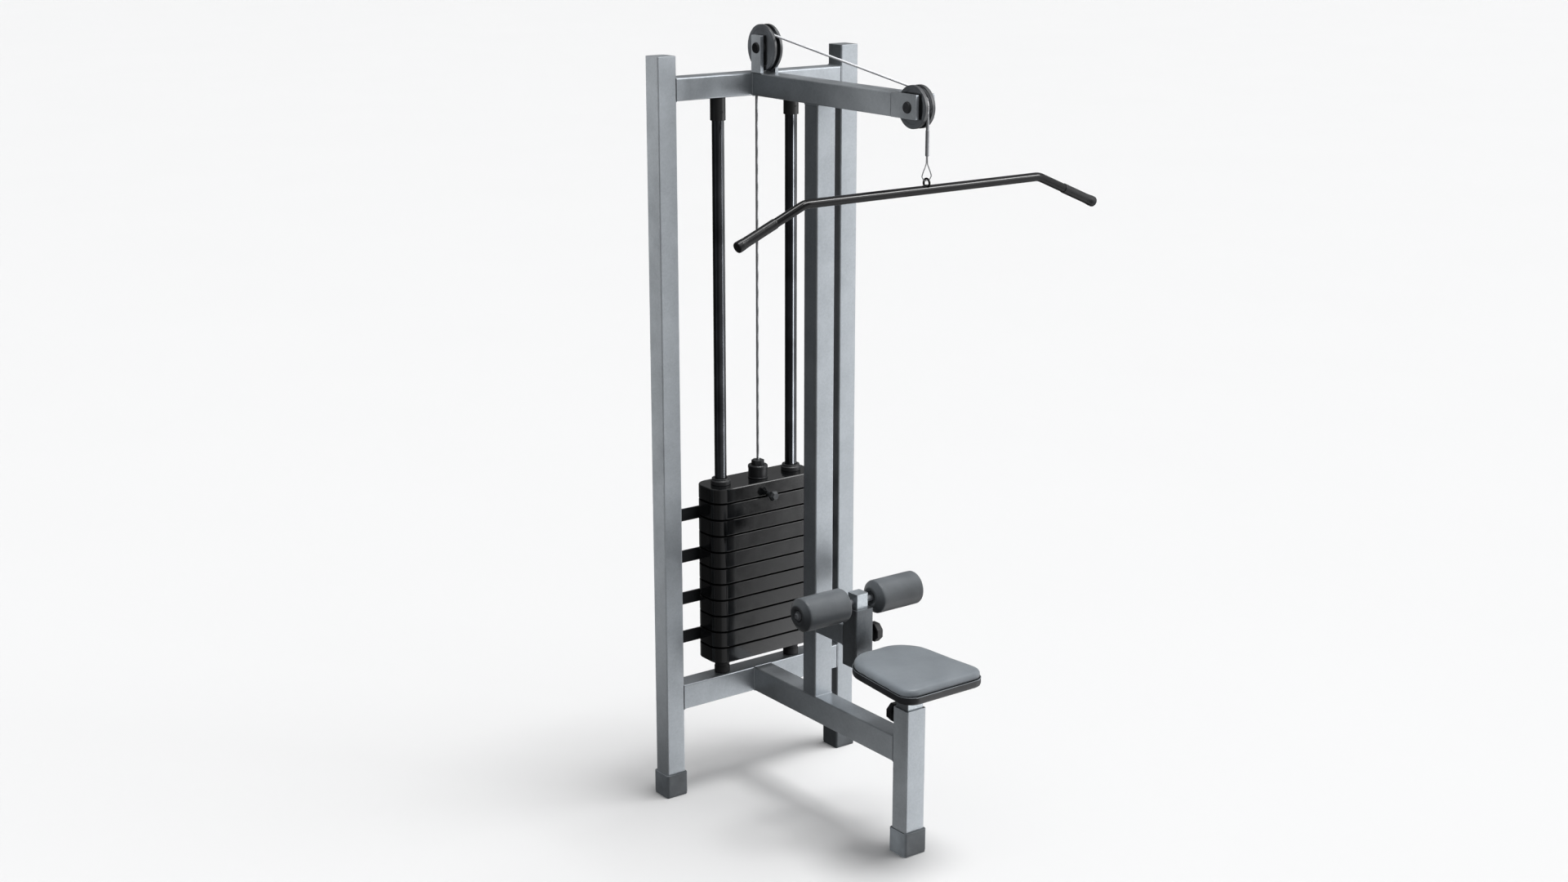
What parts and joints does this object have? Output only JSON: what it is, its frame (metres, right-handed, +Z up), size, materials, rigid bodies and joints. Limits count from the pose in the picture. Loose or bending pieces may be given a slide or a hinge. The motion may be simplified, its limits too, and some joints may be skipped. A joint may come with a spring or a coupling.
{
  "type": "lat pulldown machine",
  "caption": "Tall square-tube frame with a weight stack on guide rods; a cable over pulleys lifts it from a wide bar hung above a seat and padded thigh rollers.",
  "frame": {"origin": "centre of the footprint box, on the floor plane", "axes": "+Z up, +Y towards the weight stack at the back, the user sits on the -Y side facing +Y, +X to the right seen from the seat side"},
  "size_m": [1.1758, 0.925, 2.1875],
  "materials": {
    "frame_steel": "galvanised, mottled satin",
    "inner_tube_steel": "bright zinc plate",
    "foot_cap": "matt moulded",
    "slat": "satin dark grey",
    "guide_rod": "dark chrome",
    "collar": "satin black",
    "bumper": "matt black",
    "weight_iron": "satin black enamel",
    "black_steel": "black oxide",
    "bush": "matt",
    "pulley": "matt moulded nylon",
    "knob": "moulded, faceted",
    "cable": "bare twisted wire",
    "bar": "gloss black",
    "grip": "matt rubber",
    "roller": "grey vinyl over foam",
    "seat_board": "black shell",
    "cushion": "blue-grey vinyl over foam"
  },
  "bodies": {
    "frame": {"left_upright": "frame_steel", "right_upright": "frame_steel", "top_crossbeam": "frame_steel", "bottom_crossbeam": "frame_steel", "top_arm": "frame_steel", "spine_beam": "frame_steel", "centre_mast": "frame_steel", "front_post": "frame_steel", "thigh_bracket_tube": "frame_steel", "thigh_sleeve": "frame_steel", "rear_pulley_ear_left": "frame_steel", "rear_pulley_ear_right": "frame_steel", "left_foot_cap": "foot_cap", "right_foot_cap": "foot_cap", "front_foot_cap": "foot_cap", "rear_slat_1": "slat", "rear_slat_2": "slat", "rear_slat_3": "slat", "rear_slat_4": "slat", "guide_rod_left": "guide_rod", "guide_rod_right": "guide_rod", "rod_collar_left": "collar", "rod_collar_right": "collar", "stack_bumper_left": "bumper", "stack_bumper_right": "bumper", "weight_plate_01": "weight_iron", "weight_plate_02": "weight_iron", "weight_plate_03": "weight_iron", "weight_plate_04": "weight_iron", "weight_plate_05": "weight_iron", "weight_plate_06": "weight_iron", "weight_plate_07": "weight_iron", "weight_plate_08": "weight_iron", "weight_plate_09": "weight_iron", "weight_plate_10": "weight_iron", "rear_pulley_axle": "black_steel", "front_pulley_axle": "black_steel", "cable_top_run": "cable"},
    "carriage": {"head_plate": "weight_iron", "selector_stem": "black_steel", "head_bush_left": "bush", "head_bush_right": "bush", "cable_rear_run": "cable"},
    "pin": {"selector_pin": "black_steel"},
    "rear_wheel": {"rear_pulley": "pulley"},
    "front_wheel": {"front_pulley": "pulley"},
    "hanger": {"cable_front_run": "cable"},
    "swivel": {"cable_end_loop": "black_steel"},
    "bar": {"lat_bar": "bar", "grip_left": "grip", "grip_right": "grip"},
    "thigh_pad": {"thigh_inner_post": "inner_tube_steel", "roller_axle": "black_steel"},
    "left_pad": {"roller_left": "roller"},
    "right_pad": {"roller_right": "roller"},
    "seat": {"seat_inner_post": "inner_tube_steel", "seat_board": "seat_board", "seat_cushion": "cushion"},
    "thigh_clamp": {"thigh_knob": "knob"},
    "seat_clamp": {"seat_knob": "knob"}
  },
  "joints": [
    {"name": "stack_lift", "type": "slide", "parent": "frame", "child": "carriage", "axis": [0, 0, 1], "range_m": [0, 0.85], "deforming": ["cable_rear_run"]},
    {"name": "selector_pin_pull", "type": "slide", "parent": "carriage", "child": "pin", "axis": [0, -1, 0], "range_m": [0, 0.075]},
    {"name": "rear_pulley_spin", "type": "hinge", "parent": "frame", "child": "rear_wheel", "pos_m": [0, 0.3455, 2.125], "axis": [1, 0, 0], "continuous": true},
    {"name": "front_pulley_spin", "type": "hinge", "parent": "frame", "child": "front_wheel", "pos_m": [0, -0.2955, 2.024], "axis": [1, 0, 0], "continuous": true},
    {"name": "bar_pull", "type": "slide", "parent": "frame", "child": "hanger", "axis": [0, 0, -1], "range_m": [0, 0.85], "deforming": ["cable_front_run"]},
    {"name": "bar_swivel", "type": "hinge", "parent": "hanger", "child": "swivel", "pos_m": [0, -0.339, 1.905], "axis": [0, 0, 1], "range_deg": [-80, 80]},
    {"name": "bar_tilt", "type": "hinge", "parent": "swivel", "child": "bar", "pos_m": [0, -0.339, 1.8465], "axis": [0, 1, 0], "range_deg": [-12, 12]},
    {"name": "thigh_pad_height", "type": "slide", "parent": "frame", "child": "thigh_pad", "axis": [0, 0, 1], "range_m": [0, 0.1]},
    {"name": "left_roller_spin", "type": "hinge", "parent": "thigh_pad", "child": "left_pad", "pos_m": [-0.126, -0.08, 0.6585], "axis": [1, 0, 0], "continuous": true},
    {"name": "right_roller_spin", "type": "hinge", "parent": "thigh_pad", "child": "right_pad", "pos_m": [0.126, -0.08, 0.6585], "axis": [1, 0, 0], "continuous": true},
    {"name": "seat_height", "type": "slide", "parent": "frame", "child": "seat", "axis": [0, 0, 1], "range_m": [0, 0.1]},
    {"name": "thigh_clamp_screw", "type": "hinge", "parent": "frame", "child": "thigh_clamp", "pos_m": [0.04, -0.08, 0.557], "axis": [1, 0, 0], "continuous": true},
    {"name": "seat_clamp_screw", "type": "hinge", "parent": "frame", "child": "seat_clamp", "pos_m": [0, -0.2655, 0.389], "axis": [0, 1, 0], "continuous": true}
  ],
  "couplings": [
    {"joint": "rear_pulley_spin", "follows": "stack_lift", "rad_per_m": 24.691},
    {"joint": "front_pulley_spin", "follows": "stack_lift", "rad_per_m": 22.988},
    {"joint": "bar_pull", "follows": "stack_lift", "ratio": 1}
  ]
}
